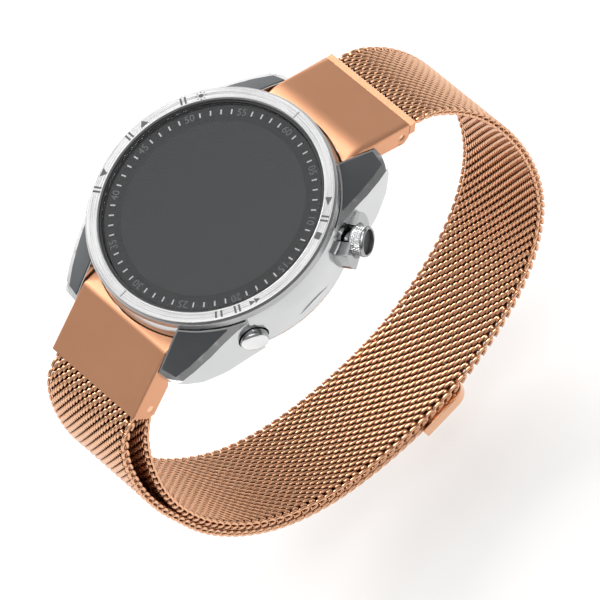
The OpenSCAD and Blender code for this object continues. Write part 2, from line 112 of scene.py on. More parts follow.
def apply_modifiers(piece):
    """Bakes a piece's modifiers into its mesh."""
    graph = bpy.context.evaluated_depsgraph_get()
    mesh = bpy.data.meshes.new_from_object(piece.evaluated_get(graph))
    piece.modifiers.clear()
    piece.data = mesh


def dial_matrix(angle):
    """Turns the X axis to a dial angle, in degrees clockwise from 12 o'clock."""
    return Matrix.Rotation(math.radians(90 - angle), 4, "Z")


def smooth_by_angle(piece, degrees=30):
    """Smooth shading, with edges sharper than an angle kept crisp."""
    mesh = piece.data
    mesh.polygons.foreach_set("use_smooth", [True] * len(mesh.polygons))
    bm = bmesh.new()
    bm.from_mesh(mesh)
    limit = math.radians(degrees)
    for edge in bm.edges:
        edge.smooth = len(edge.link_faces) == 2 and edge.calc_face_angle(0) < limit
    bm.to_mesh(mesh)
    bm.free()


def keep_flats_flat(piece):
    """Shading normals that follow the large faces, so that only the rounded edges shade round."""
    weighted = piece.modifiers.new("normals", "WEIGHTED_NORMAL")
    weighted.keep_sharp = True
    apply_modifiers(piece)


def round_long_edges(bm, width):
    """Rounds the two upper long edges of a strap adapter, which run along the strap."""
    sideways, upward = 0.9, 0.35
    side = max(v.co.x for v in bm.verts) - 0.02 * MM
    edges = []
    for edge in bm.edges:
        normals = [face.normal for face in edge.link_faces]
        at_side = all(abs(v.co.x) > side for v in edge.verts)
        meets_side = any(abs(n.x) > sideways for n in normals)
        meets_top = any(n.z > upward for n in normals)
        if at_side and meets_side and meets_top:
            edges.append(edge)
    bmesh.ops.bevel(bm, geom=edges, offset=width * MM, segments=5, profile=0.5, affect="EDGES")


def cut_clip_lip(bm):
    """Takes the thin lip off the end clip's slot and slopes its top, so that it is a narrow bar."""
    lip_depth, slope_drop, slope_start = 1.0, 0.32, 1.6
    tolerance = 0.01 * MM
    top = max((face for face in bm.faces if face.normal.z > 0.5), key=lambda face: face.calc_area())
    along = Vector((0, top.normal.z, -top.normal.y)).normalized()
    end = max(v.co.dot(along) for v in bm.verts)
    sink = top.normal * slope_drop * MM
    for vertex in top.verts:
        if vertex.co.dot(along) < end - slope_start * MM:
            vertex.co -= sink
    for vertex in bm.verts:
        if vertex.co.dot(along) > end - 0.05 * MM:
            vertex.co -= along * lip_depth * MM
    bmesh.ops.remove_doubles(bm, verts=bm.verts, dist=tolerance)
    bmesh.ops.dissolve_degenerate(bm, edges=bm.edges, dist=tolerance)


def cleaned_copy(node, prepare):
    """A copy of a CAD node's mesh without its flat inner edges, after an optional step."""
    mesh = frame["nodes"][node].data.copy()
    bm = bmesh.new()
    bm.from_mesh(mesh)
    bmesh.ops.remove_doubles(bm, verts=bm.verts, dist=0.002 * MM)
    bmesh.ops.dissolve_limit(
        bm, angle_limit=math.radians(0.6), use_dissolve_boundaries=False,
        verts=bm.verts, edges=bm.edges)
    if prepare:
        prepare(bm)
    bm.to_mesh(mesh)
    bm.free()
    return mesh


def softened(node, material, width, segments=3, prepare=None):
    """A copy of a CAD node with its edges rounded, which stands for the node."""
    sharp_edge = 28
    mesh = cleaned_copy(node, prepare)
    mesh.materials.clear()
    mesh.materials.append(material)
    piece = bpy.data.objects.new(node + "_body", mesh)
    bpy.context.scene.collection.objects.link(piece)
    bevel = piece.modifiers.new("round", "BEVEL")
    bevel.width = width * MM
    bevel.segments = segments
    bevel.limit_method = "ANGLE"
    bevel.angle_limit = math.radians(sharp_edge)
    bevel.use_clamp_overlap = True
    apply_modifiers(piece)
    smooth_by_angle(piece)
    keep_flats_flat(piece)
    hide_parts(node)
    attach(piece, body_of(node))


def slot_of(node):
    """The material slot of a CAD node."""
    for part in frame["record"]["subparts"]:
        if part["node"] == node:
            return part["material_slot"]


def body_of(node):
    """The body that a CAD node belongs to."""
    for body, members in frame["record"]["behaviour"]["bodies"].items():
        if node in members:
            return body


def settle(piece, node, replaces=True):
    """The piece rides with a CAD node's body, and stands for it unless told not to."""
    if replaces:
        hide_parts(node)
    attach(piece, body_of(node))


def rounded(profile, radius, steps=4):
    """A profile of (r, z) points with each inner corner replaced by an arc."""
    points = [np.array(p, float) for p in profile]
    result = [points[0]]
    for before, corner, after in zip(points, points[1:], points[2:]):
        to_before, to_after = before - corner, after - corner
        reach = min(radius, np.linalg.norm(to_before) * 0.45, np.linalg.norm(to_after) * 0.45)
        start = corner + to_before / np.linalg.norm(to_before) * reach
        end = corner + to_after / np.linalg.norm(to_after) * reach
        for k in range(steps + 1):
            t = k / steps
            result.append((1 - t) ** 2 * start + 2 * t * (1 - t) * corner + t * t * end)
    result.append(points[-1])
    return result


def lathe(name, profile, material, segments=192):
    """A turned piece about Z from (r, z) points in mm."""
    verts, faces, rings = [], [], []
    for r, z in profile:
        if r < 1e-6:
            rings.append([len(verts)])
            verts.append((0, 0, z))
            continue
        rings.append(list(range(len(verts), len(verts) + segments)))
        for k in range(segments):
            a = 2 * math.pi * k / segments
            verts.append((r * math.cos(a), r * math.sin(a), z))
    for one, two in zip(rings, rings[1:]):
        for k in range(segments):
            n = (k + 1) % segments
            if len(one) == 1:
                faces.append((one[0], two[n], two[k]))
            elif len(two) == 1:
                faces.append((one[k], one[n], two[0]))
            else:
                faces.append((one[k], one[n], two[n], two[k]))
    piece = make_piece(name, verts, faces, material)
    bm = bmesh.new()
    bm.from_mesh(piece.data)
    bmesh.ops.recalc_face_normals(bm, faces=bm.faces)
    bm.to_mesh(piece.data)
    bm.free()
    smooth_by_angle(piece)
    return piece


def aim_along_dial(piece, angle, height):
    """Lays a piece turned about Z on its side, so that its axis leaves the case at a dial angle."""
    tip = Matrix.Rotation(math.radians(90), 4, "Y")
    place = dial_matrix(angle) @ Matrix.Translation((0, 0, height * MM)) @ tip
    piece.data.transform(place)


# ------------------------------------------------------------------ materials

DEEP_GRAIN = 0.03 * MM
SHALLOW_GRAIN = 0.02 * MM


class Nodes:
    """Short ways to add and join shader nodes of one material."""

    def __init__(self, name):
        self.material = bpy.data.materials.new(name)
        self.material.use_nodes = True
        self.tree = self.material.node_tree
        self.shader = self.tree.nodes["Principled BSDF"]

    def add(self, kind, inputs=None, **settings):
        node = self.tree.nodes.new(kind)
        for key, value in settings.items():
            setattr(node, key, value)
        for key, value in (inputs or {}).items():
            if isinstance(value, bpy.types.NodeSocket):
                self.tree.links.new(value, node.inputs[key])
            else:
                node.inputs[key].default_value = value
        return node

    def set(self, **inputs):
        for key, value in inputs.items():
            socket = self.shader.inputs[key.replace("_", " ")]
            if isinstance(value, bpy.types.NodeSocket):
                self.tree.links.new(value, socket)
            else:
                socket.default_value = value

    def math(self, operation, a, b=0.0):
        return self.add("ShaderNodeMath", {0: a, 1: b}, operation=operation).outputs[0]

    def noise(self, vector, scale, detail=3.0, roughness=0.55):
        return self.add(
            "ShaderNodeTexNoise",
            {"Vector": vector, "Scale": scale, "Detail": detail, "Roughness": roughness},
        ).outputs["Fac"]

    def place(self):
        return self.add("ShaderNodeTexCoord").outputs["Object"]

    def remap(self, value, low_to, high_to, low_from=0.3, high_from=0.7):
        return self.add("ShaderNodeMapRange", {
            "Value": value, "From Min": low_from, "From Max": high_from,
            "To Min": low_to, "To Max": high_to}).outputs["Result"]

    def colours(self, fac, first, second):
        """A blend of two colours, each given as (r, g, b) or as the output of another node."""
        ends = [end if isinstance(end, bpy.types.NodeSocket) else (*end, 1) for end in (first, second)]
        mix = self.add("ShaderNodeMix", {"Factor": fac, 6: ends[0], 7: ends[1]}, data_type="RGBA")
        return mix.outputs[2]

    def bump(self, height, strength, distance):
        return self.add("ShaderNodeBump", {
            "Height": height, "Strength": strength, "Distance": distance}).outputs["Normal"]


def scaled(nodes, vector, x, y, z):
    """A vector stretched along each axis."""
    return nodes.add("ShaderNodeVectorMath", {0: vector, 1: (x, y, z)},
                     operation="MULTIPLY").outputs[0]


def polar(nodes, around=8.0, across=1.0):
    """Object position as (angle, radius, height), scaled so that noise is drawn out around Z."""
    parts = nodes.add("ShaderNodeSeparateXYZ", {0: nodes.place()})
    x, y, z = parts.outputs
    angle = nodes.math("ARCTAN2", y, x)
    radius = nodes.math("SQRT", nodes.math("ADD", nodes.math("MULTIPLY", x, x),
                                           nodes.math("MULTIPLY", y, y)))
    wrapped = nodes.add("ShaderNodeCombineXYZ", {
        0: nodes.math("MULTIPLY", nodes.math("COSINE", angle), around * MM),
        1: nodes.math("MULTIPLY", nodes.math("SINE", angle), around * MM),
        2: nodes.math("MULTIPLY", nodes.math("ADD", radius, z), across)})
    return wrapped.outputs[0]


def circular_steel():
    """Steel brushed round the dial."""
    n = Nodes("circular_brushed_steel")
    brush = n.noise(polar(n, 1.2, 8.0), 900, 4, 0.6)
    cloud = n.noise(n.place(), 90, 2)
    n.set(Metallic=1.0, Base_Color=n.colours(brush, (0.30, 0.305, 0.31), (0.58, 0.58, 0.585)),
          Roughness=n.remap(n.math("ADD", brush, n.math("MULTIPLY", cloud, 0.4)), 0.22, 0.38, 0.5, 1.0),
          Normal=n.bump(brush, 0.40, DEEP_GRAIN))
    return n.material


def satin_steel():
    """Case steel: fine satin with a faint horizontal brush."""
    n = Nodes("satin_steel")
    brush = n.noise(scaled(n, n.place(), 0.25, 0.25, 6), 1500, 3, 0.6)
    cloud = n.noise(n.place(), 120, 2)
    n.set(Metallic=1.0, Base_Color=n.colours(cloud, (0.58, 0.59, 0.60), (0.66, 0.665, 0.67)),
          Roughness=n.remap(brush, 0.14, 0.24), Normal=n.bump(brush, 0.10, SHALLOW_GRAIN))
    return n.material


def polished(name, dark, light, roughness, scale, grain):
    """Bright metal with faint wipe marks."""
    n = Nodes(name)
    wipe = n.noise(n.place(), scale, 4, 0.6)
    n.set(Metallic=1.0, Base_Color=n.colours(wipe, dark, light),
          Roughness=n.remap(wipe, *roughness), Normal=n.bump(wipe, grain, SHALLOW_GRAIN))
    return n.material


def slate():
    """Slate-grey moulded inlay with a satin sheen."""
    n = Nodes("slate_inlay")
    grain = n.noise(n.place(), 5200, 3)
    cloud = n.noise(n.place(), 160, 2)
    n.set(Base_Color=n.colours(cloud, (0.055, 0.059, 0.064), (0.078, 0.083, 0.090)),
          Metallic=0.25, Roughness=n.remap(grain, 0.34, 0.50),
          Normal=n.bump(grain, 0.12, DEEP_GRAIN))
    return n.material


def rose_matte():
    """Bead-blasted rose-gold plate."""
    n = Nodes("rose_gold_matte")
    beads = n.noise(n.place(), 5200, 4, 0.65)
    cloud = n.noise(n.place(), 110, 3)
    n.set(Metallic=1.0, Base_Color=n.colours(cloud, (0.70, 0.345, 0.195), (0.77, 0.395, 0.232)),
          Roughness=n.remap(beads, 0.34, 0.46), Normal=n.bump(beads, 0.16, DEEP_GRAIN))
    return n.material


def rose_wire():
    """Drawn wire of the woven strap, with painted shade: its colour turns dark brown down in the gaps of the
    weave.
    """
    n = Nodes("rose_gold_wire")
    drawn = n.noise(n.place(), 1600, 3)
    cloud = n.noise(n.place(), 60, 2)
    # per-point share read from the mesh: 0 takes the full painted shade deep in the weave, 1 takes none
    unshaded = n.add("ShaderNodeAttribute", attribute_name="unshaded").outputs["Fac"]
    rose_tone = n.colours(cloud, (0.77, 0.42, 0.245), (0.89, 0.52, 0.325))
    # painted shade: dark brown stands in for the shade down in the weave's gaps
    painted_shade_colour = n.colours(unshaded, (0.09, 0.035, 0.014), rose_tone)
    n.set(Metallic=1.0, Base_Color=painted_shade_colour, Roughness=n.remap(drawn, 0.20, 0.28),
          Normal=n.bump(drawn, 0.05, SHALLOW_GRAIN))
    return n.material


def moulded(name, dark, light, roughness=(0.45, 0.6), grain=0.15, scale=4200, specular=0.5):
    """A moulded or printed surface with a fine grain."""
    n = Nodes(name)
    fine = n.noise(n.place(), scale, 3)
    cloud = n.noise(n.place(), 200, 2)
    n.set(Base_Color=n.colours(cloud, dark, light), Roughness=n.remap(fine, *roughness),
          Normal=n.bump(fine, grain, DEEP_GRAIN), Specular_IOR_Level=specular)
    return n.material


def metal(name, dark, light, roughness=(0.2, 0.35), scale=900):
    """Plain metal with a faint uneven sheen."""
    n = Nodes(name)
    wipe = n.noise(n.place(), scale, 3)
    n.set(Metallic=1.0, Base_Color=n.colours(wipe, dark, light),
          Roughness=n.remap(wipe, *roughness), Normal=n.bump(wipe, 0.08, DEEP_GRAIN))
    return n.material


def lens_glass():
    """Clear coated glass: it lets light through to the dial and keeps a sharp gloss."""
    n = Nodes("lens_glass")
    n.tree.nodes.remove(n.shader)
    smear = n.noise(n.place(), 140, 3)
    gloss = n.add("ShaderNodeBsdfGlossy", {
        "Color": (0.80, 0.80, 0.81, 1), "Roughness": n.remap(smear, 0.02, 0.06)})
    clear = n.add("ShaderNodeBsdfTransparent", {"Color": (0.96, 0.97, 0.98, 1)})
    rim = n.add("ShaderNodeFresnel", {"IOR": 1.42})
    mix = n.add("ShaderNodeMixShader", {
        0: rim.outputs[0], 1: clear.outputs[0], 2: gloss.outputs[0]})
    n.tree.links.new(mix.outputs[0], n.tree.nodes["Material Output"].inputs["Surface"])
    return n.material


STEEL_RING = circular_steel()
STEEL_CASE = satin_steel()
STEEL_BRIGHT = polished("polished_steel", (0.72, 0.73, 0.74), (0.82, 0.82, 0.83), (0.06, 0.16), 400,
                        0.04)
SLATE = slate()
ROSE_MATTE = rose_matte()
ROSE_BRIGHT = polished("rose_gold_polished", (0.86, 0.49, 0.30), (0.93, 0.56, 0.36), (0.10, 0.20),
                       500, 0.05)
ROSE_WIRE = rose_wire()
LENS = lens_glass()
RING_BLACK = moulded("dial_ring", (0.011, 0.011, 0.011), (0.014, 0.014, 0.014), (0.5, 0.62), 0.01,
                     specular=0.15)
DISPLAY = moulded("display", (0.026, 0.026, 0.026), (0.028, 0.028, 0.028), (0.46, 0.5), 0.004, 9000,
                  specular=0.15)
RUBBER = moulded("black_rubber", (0.010, 0.010, 0.011), (0.020, 0.020, 0.021), (0.6, 0.75), 0.2)
POLYMER = moulded("black_polymer", (0.030, 0.031, 0.033), (0.048, 0.049, 0.052), (0.42, 0.58), 0.25)
ENGRAVING = moulded("engraving", (0.050, 0.050, 0.052), (0.085, 0.086, 0.088), (0.6, 0.7), 0.1)
TICK_WHITE = moulded("tick_white", (0.62, 0.62, 0.62), (0.72, 0.72, 0.72), (0.5, 0.6), 0.05)
TICK_GREY = moulded("tick_grey", (0.105, 0.106, 0.108), (0.130, 0.131, 0.133), (0.5, 0.6), 0.05)
WINDOW = moulded("sensor_window", (0.008, 0.008, 0.010), (0.014, 0.013, 0.016), (0.05, 0.10), 0.02)
BOARD = moulded("circuit_board", (0.02, 0.12, 0.05), (0.03, 0.17, 0.08), (0.3, 0.45), 0.1)
LED = moulded("led_lens", (0.30, 0.60, 0.32), (0.42, 0.74, 0.44), (0.1, 0.2), 0.02)
GOLD = metal("gold_contact", (0.78, 0.55, 0.22), (0.90, 0.68, 0.32))
SPRING = metal("spring_steel", (0.50, 0.51, 0.53), (0.66, 0.67, 0.69))
FOIL = metal("cell_foil", (0.60, 0.62, 0.64), (0.76, 0.77, 0.78), (0.3, 0.45), 300)
# a darker copy of the steel: painted shade on button necks, rims and side walls and on the start guard
STEEL_PAINTED_SHADE = metal("steel_painted_shade", (0.36, 0.365, 0.37), (0.42, 0.425, 0.43), (0.12, 0.20), 500)
NICKEL = metal("nickel", (0.55, 0.55, 0.55), (0.68, 0.67, 0.66))

SLOT_MATERIALS = {
    "satin_steel": STEEL_CASE, "brushed_steel": STEEL_RING, "polished_steel": STEEL_BRIGHT,
    "spring_steel": SPRING, "lens": LENS, "window_glass": WINDOW, "black_rubber": RUBBER,
    "black_polymer": POLYMER, "dial_ring": RING_BLACK, "display": DISPLAY, "slate_inlay": SLATE,
    "circuit_board": BOARD, "cell_foil": FOIL, "gold_contact": GOLD, "led_lens": LED,
    "rose_matte": ROSE_MATTE, "rose_steel": ROSE_BRIGHT, "rose_mesh": ROSE_WIRE, "magnet": NICKEL,
}


def smooth_by_angle_of_node(node, limit=0.5):
    """Smooth shading on a CAD node without touching its points. The limit is in radians."""
    node.data.polygons.foreach_set("use_smooth", [True] * len(node.data.polygons))
    edges = {}
    for polygon in node.data.polygons:
        for key in polygon.edge_keys:
            edges.setdefault(key, []).append(polygon.normal)
    for edge in node.data.edges:
        normals = edges.get(edge.key, [])
        edge.use_edge_sharp = len(normals) != 2 or normals[0].angle(normals[1], 0) > limit


def paint_frame():
    """Gives every CAD node the detailed material of its slot."""
    for name, node in frame["nodes"].items():
        node.data.materials.clear()
        node.data.materials.append(SLOT_MATERIALS[slot_of(name)])
        smooth_by_angle_of_node(node)


# ------------------------------------------------------------------ camera, light and floor

def build_camera():
    """The reference view: the dial tilted 32 degrees from the line of sight, 12 o'clock up and right."""
    azimuth, elevation, roll = math.radians(77.58), math.radians(58.29), math.radians(35.38)
    distance = 1000 * MM
    focal_length, sensor = 385.8, 36
    dial_centre = Vector((0, 0, 12.6 * MM))
    right_shift, up_shift = 13.62 * MM, -14.41 * MM
    forward = Vector((-math.sin(azimuth) * math.cos(elevation),
                      math.cos(azimuth) * math.cos(elevation), -math.sin(elevation)))
    level = forward.cross(Vector((0, 0, 1))).normalized()
    turn = Matrix.Rotation(roll, 3, forward)
    right = turn @ level
    up = right.cross(forward)
    camera = bpy.data.objects.new("camera", bpy.data.cameras.new("camera"))
    bpy.context.scene.collection.objects.link(camera)
    place = dial_centre - forward * distance + right * right_shift + up * up_shift
    camera.matrix_world = Matrix.Translation(place) @ Matrix((right, up, -forward)).transposed().to_4x4()
    camera.data.sensor_width = sensor
    camera.data.lens = focal_length
    camera.data.clip_start, camera.data.clip_end = 0.01, 10
    bpy.context.scene.camera = camera


def add_light(name, place, target, size, power, colour=(1, 1, 1)):
    """A square softbox at a place, in mm, that faces a target."""
    data = bpy.data.lights.new(name, "AREA")
    data.size = size * MM
    data.energy = power
    data.color = colour
    light = bpy.data.objects.new(name, data)
    bpy.context.scene.collection.objects.link(light)
    light.location = Vector(place) * MM
    light.rotation_euler = (Vector(target) * MM - light.location).to_track_quat("-Z", "Y").to_euler()


def build_sky():
    """Soft studio surroundings: bright overhead and at the horizon, dimmer between and towards +X."""
    world = bpy.data.worlds.new("studio")
    world.use_nodes = True
    tree = world.node_tree
    place = tree.nodes.new("ShaderNodeTexCoord")
    parts = tree.nodes.new("ShaderNodeSeparateXYZ")
    tree.links.new(place.outputs["Generated"], parts.inputs[0])

    def ramp(axis, start, end, first, last):
        node = tree.nodes.new("ShaderNodeMapRange")
        node.interpolation_type = "SMOOTHSTEP"
        for key, value in (("From Min", start), ("From Max", end), ("To Min", first), ("To Max", last)):
            node.inputs[key].default_value = value
        tree.links.new(parts.outputs[axis], node.inputs["Value"])
        return node.outputs["Result"]

    def combine(operation, first, second):
        node = tree.nodes.new("ShaderNodeMath")
        node.operation = operation
        tree.links.new(first, node.inputs[0])
        tree.links.new(second, node.inputs[1])
        return node.outputs[0]

    dome = combine("MULTIPLY", ramp("Z", 0.3, 1.0, 0.27, 1.15), ramp("X", -0.5, 0.5, 1.0, 0.65))
    glow = combine("ADD", dome, ramp("Z", 0.04, 0.24, 0.62, 0.0))
    tree.links.new(glow, tree.nodes["Background"].inputs["Strength"])
    tree.nodes["Background"].inputs["Color"].default_value = (1, 0.99, 0.98, 1)
    bpy.context.scene.world = world


def build_studio():
    """A pale backlit floor a little below the strap, soft lights and the sky."""
    floor_drop = 12
    floor_z = CAD_BOX[0].z / MM - floor_drop
    reach = 3000
    floor_material = moulded("floor_paper", (0.50, 0.50, 0.50), (0.52, 0.52, 0.52), (0.7, 0.8), 0.02, 800)
    shader = floor_material.node_tree.nodes["Principled BSDF"]
    shader.inputs["Emission Color"].default_value = (1, 0.995, 0.99, 1)
    shader.inputs["Emission Strength"].default_value = 0.46
    corners = [(-reach, -reach), (reach, -reach), (reach, reach), (-reach, reach)]
    floor = make_piece("floor", [(x, y, floor_z) for x, y in corners], [(0, 1, 2, 3)], floor_material)
    build_sky()
    centre = (0, 0, -20)
    add_light("overhead", (0, 0, 1500), centre, 1200, 10)
    add_light("key", (-780, 60, 430), centre, 450, 6.4, (1, 0.99, 0.97))
    add_light("shoulder", (-460, 400, 640), centre, 220, 0.6)
    bpy.context.scene.view_settings.view_transform = "Standard"


# ------------------------------------------------------------------ watch head

def build_bezel():
    """Brushed ring with a flat top and rounded edges, and the marks on it."""
    top, bottom = high("bezel_ring").z, low("bezel_ring").z
    outer = high("bezel_ring").x
    inner = BEZEL_IN
    profile = [(inner + 0.02, bottom), (outer - 0.3, bottom), (outer, bottom + 0.4), (outer, top - 0.42),
               (outer - 0.36, top), (inner + 0.26, top), (inner + 0.02, top - 0.3)]
    ring = [(inner + 0.02, bottom + 0.5)] + profile + [(inner + 0.02, bottom + 0.5)]
    piece = lathe("bezel", rounded(ring, 0.06), STEEL_RING, 256)
    keep_flats_flat(piece)
    settle(piece, "bezel_ring")
    build_bezel_marks(top, inner, outer)


def flat_shapes(name, outlines, z, material, node):
    """One thin piece from flat outlines in mm, each a list of (x, y), at one height."""
    verts, faces = [], []
    for outline in outlines:
        start = len(verts)
        verts += [(x, y, z) for x, y in outline]
        faces.append(tuple(range(start, len(verts))))
    piece = make_piece(name, verts, faces, material, smooth=False)
    settle(piece, node, replaces=False)


def turned(outline, angle, radius):
    """An outline drawn with +Y outwards and +X clockwise, laid at a dial angle and radius."""
    a = math.radians(angle)
    outward, clockwise = (math.sin(a), math.cos(a)), (math.cos(a), -math.sin(a))
    return [(outward[0] * (radius + y) + clockwise[0] * x, outward[1] * (radius + y) + clockwise[1] * x)
            for x, y in outline]


def box_outline(x, y, w, h):
    """A rectangle about a point."""
    return [(x - w / 2, y - h / 2), (x + w / 2, y - h / 2), (x + w / 2, y + h / 2), (x - w / 2, y + h / 2)]


def disc_outline(x, y, r, count=20):
    """A disc about a point."""
    return [(x + r * math.cos(2 * math.pi * k / count), y + r * math.sin(2 * math.pi * k / count))
            for k in range(count)]


def button_symbols():
    """Plain symbols beside each button mark: (dial angle, list of outlines)."""
    left, right = -3.0, 3.0
    triangle = [(-0.7, -0.7), (0.8, 0), (-0.7, 0.7)]

    def at(outline, x):
        return [(px + x, py) for px, py in outline]

    up = [(-0.8, -0.5), (0.8, -0.5), (0, 0.8)]
    down = [(-0.8, 0.5), (0, -0.8), (0.8, 0.5)]
    back = [(0.9, -0.55), (0.9, 0.55), (0.0, 0.0)]
    rays = [[(math.cos(a) * r + math.sin(a) * w, math.sin(a) * r - math.cos(a) * w)
             for r, w in ((0.6, 0.08), (0.95, 0.08), (0.95, -0.08), (0.6, -0.08))]
            for a in (k * math.pi / 4 for k in range(8))]
    return {
        "start": [at(triangle, left), box_outline(right, 0, 1.2, 1.2)],
        "back": [at(back, left), at([(x - 0.9, y) for x, y in back], left),
                 box_outline(right - 0.4, 0, 0.35, 1.4), box_outline(right + 0.5, 0, 0.35, 1.4)],
        "down": [at(down, right)],
        "up": [at(up, right)],
        "light": [disc_outline(right, 0, 0.42)] + [at(ray, right) for ray in rays],
    }


def build_bezel_marks(top, inner, outer):
    """Filled engraving: a double bar at each button, a symbol beside it, and a line at 12 and at 6."""
    lift, squash = 0.006, 0.82
    bar_offset, bar_width, bar_length = 0.36, 0.34, 1.3
    middle = (inner + outer) / 2 - 0.1
    shapes = []
    for name, outlines in button_symbols().items():
        angle = BUTTON_ANGLES[name]
        for x in (-bar_offset, bar_offset):
            shapes.append(turned(box_outline(x, 0, bar_width, bar_length), angle, middle))
        for outline in outlines:
            centre_x = sum(p[0] for p in outline) / len(outline)
            lean = math.degrees(centre_x / middle)
            moved = [(x - centre_x, y * squash) for x, y in outline]
            shapes.append(turned(moved, angle + lean, middle))
    for angle in (0, 180):
        shapes.append(turned(box_outline(0, 0, 0.16, outer - inner - 0.9), angle, middle))
    flat_shapes("bezel_marks", shapes, top + lift, ENGRAVING, "bezel_ring")


def build_glass():
    """Flat glass with a chamfered rim."""
    bottom, top = low("glass_lens").z, high("glass_lens").z
    r = high("glass_lens").x
    profile = [(0, bottom), (r, bottom), (r, top - 0.22), (r - 0.22, top), (0, top)]
    settle(lathe("lens", rounded(profile, 0.05), LENS), "glass_lens")


def minute_text(minute, radius, z, size):
    """A two-figure numeral on the minute ring, its foot towards the centre, as a mesh."""
    curve = bpy.data.curves.new("numeral", "FONT")
    curve.body = f"{minute:02d}"
    curve.align_x, curve.align_y = "CENTER", "CENTER"
    curve.size = size
    curve.resolution_u = 3
    text = bpy.data.objects.new("numeral", curve)
    bpy.context.scene.collection.objects.link(text)
    bpy.context.view_layer.update()
    mesh = bpy.data.meshes.new_from_object(text.evaluated_get(bpy.context.evaluated_depsgraph_get()))
    bpy.data.objects.remove(text)
    outline = [(v.co.x, v.co.y) for v in mesh.vertices]
    points = [(x, y, z) for x, y in turned(outline, minute * 6, radius)]
    return points, [tuple(p.vertices) for p in mesh.polygons]


def build_dial():
    """Minute ring with its ticks and numerals, and the display below the glass."""
    ring_low, ring_high = low("minute_ring"), high("minute_ring")
    outer, inner = ring_high.x, DISPLAY_R
    top = ring_high.z
    ring = [(inner, ring_low.z), (outer, ring_low.z), (outer, top), (inner + 0.25, top), (inner, top - 0.1),
            (inner, ring_low.z)]
    settle(lathe("minute_track", ring, RING_BLACK), "minute_ring")
    display_top = high("display_panel").z - 0.06
    disc = [(0, display_top), (inner - 0.02, display_top), (inner - 0.02, low("display_panel").z),
            (0, low("display_panel").z)]
    settle(lathe("screen", disc, DISPLAY), "display_panel")
    z = top + 0.01
    tick_r, tick_length, tick_width = 16.75, 0.85, 0.24
    ticks = [turned(box_outline(0, 0, tick_width, tick_length), 6 * m, tick_r)
             for m in range(60) if m % 5]
    flat_shapes("minute_ticks", ticks, z, TICK_WHITE, "minute_ring")
    verts, faces = [], []
    for minute in range(5, 61, 5):
        points, polygons = minute_text(minute, tick_r - 0.05, z, 1.75)
        faces += [tuple(i + len(verts) for i in polygon) for polygon in polygons]
        verts += points
    numerals = make_piece("minute_numerals", verts, faces, TICK_GREY, smooth=False)
    settle(numerals, "minute_ring", replaces=False)


def knurled(name, radius, start, end, material, around=38, rows=5, depth=0.22):
    """A knurled drum about Z: a net of small pyramids between two heights."""
    columns, steps = around * 4, rows * 4
    verts, faces = [], []
    for j in range(steps + 1):
        v = j / steps
        fade = min(1, min(v, 1 - v) * 8)
        for k in range(columns):
            u = k / columns
            one = abs(((u * around + v * rows / 2) % 1) - 0.5) * 2
            two = abs(((u * around - v * rows / 2) % 1) - 0.5) * 2
            r = radius - depth * fade * (1 - min(one, two))
            a = 2 * math.pi * u
            verts.append((r * math.cos(a), r * math.sin(a), start + (end - start) * v))
    for j in range(steps):
        for k in range(columns):
            n = (k + 1) % columns
            faces.append((j * columns + k, j * columns + n, (j + 1) * columns + n, (j + 1) * columns + k))
    return make_piece(name, verts, faces, material, smooth=False)


def join(pieces, name):
    """One object from several, keeping each one's materials."""
    for other in bpy.context.selected_objects:
        other.select_set(False)
    for piece in pieces:
        piece.select_set(True)
    bpy.context.view_layer.objects.active = pieces[0]
    bpy.ops.object.join()
    pieces[0].name = name
    return pieces[0]


def build_start_button():
    """Bright knurled drum on a neck of steel darkened with painted shade, with a rim darkened the same way round a
    black dished end.
    """
    top, neck_top, knurl_start = 24.7, 22.1, 22.35
    r, neck_r = 2.42, 1.85
    stem = [(0, STEM_ROOT), (STEM_R, STEM_ROOT), (STEM_R, STEM_END), (neck_r, STEM_END),
            (neck_r, neck_top), (r - 0.25, neck_top), (r, knurl_start)]
    rim = [(r, top - 0.5), (r, top - 0.25), (r - 0.15, top), (r - 0.3, top), (r - 0.4, top - 0.12)]
    dish = [(r - 0.4, top - 0.12), (r - 0.55, top - 0.6), (0.6, top - 0.72), (0, top - 0.74)]
    parts = [lathe("stem", rounded(stem, 0.12), STEEL_PAINTED_SHADE, 96),
             knurled("knurl", r + 0.03, knurl_start, top - 0.5, STEEL_BRIGHT),
             lathe("rim", rounded(rim, 0.1), STEEL_PAINTED_SHADE, 96),
             lathe("dish", dish, POLYMER, 96)]
    piece = join(parts, "start_pusher")
    aim_along_dial(piece, BUTTON_ANGLES["start"], BUTTON_Z)
    settle(piece, "start_button")


def build_plain_button(name):
    """Polished domed pusher with a side wall darkened with painted shade."""
    r, top = 2.28, -low("up_button").x
    side = [(0, STEM_ROOT), (STEM_R, STEM_ROOT), (STEM_R, STEM_END), (r, STEM_END), (r, top - 0.62),
            (r - 0.12, top - 0.42)]
    dome = [(r - 0.12, top - 0.42), (r - 0.3, top - 0.26), (r - 0.8, top - 0.1), (0.9, top - 0.02),
            (0, top)]
    piece = join([lathe("side", rounded(side, 0.15), STEEL_PAINTED_SHADE, 96),
                  lathe("dome", rounded(dome, 0.22), STEEL_BRIGHT, 96)], name + "_pusher")
    aim_along_dial(piece, BUTTON_ANGLES[name], BUTTON_Z)
    settle(piece, name + "_button")


# ------------------------------------------------------------------ woven strap

STRAP_THICKNESS = 1.4

# the wire's radius, the step between coils, and the step between the turns of one coil, in mm
WIRE_R = 0.275
ROW_PITCH = 0.95
TURN_PITCH = 1.26
COIL_HALF_WIDTH = 0.98

# how finely the wire is drawn
STEPS_PER_TURN = 14
WIRE_SIDES = 7

# the closed curl at a coil's end
CURL_TURNS = 0.75
CURL_ADVANCE = 0.25

# distances from the strap's middle between which the painted shade in the weave's gaps fades out, and the width of
# the band along each edge kept free of painted shade
PAINTED_SHADE_DEPTH = (0.26, 0.58)
UNSHADED_EDGE = 1.1


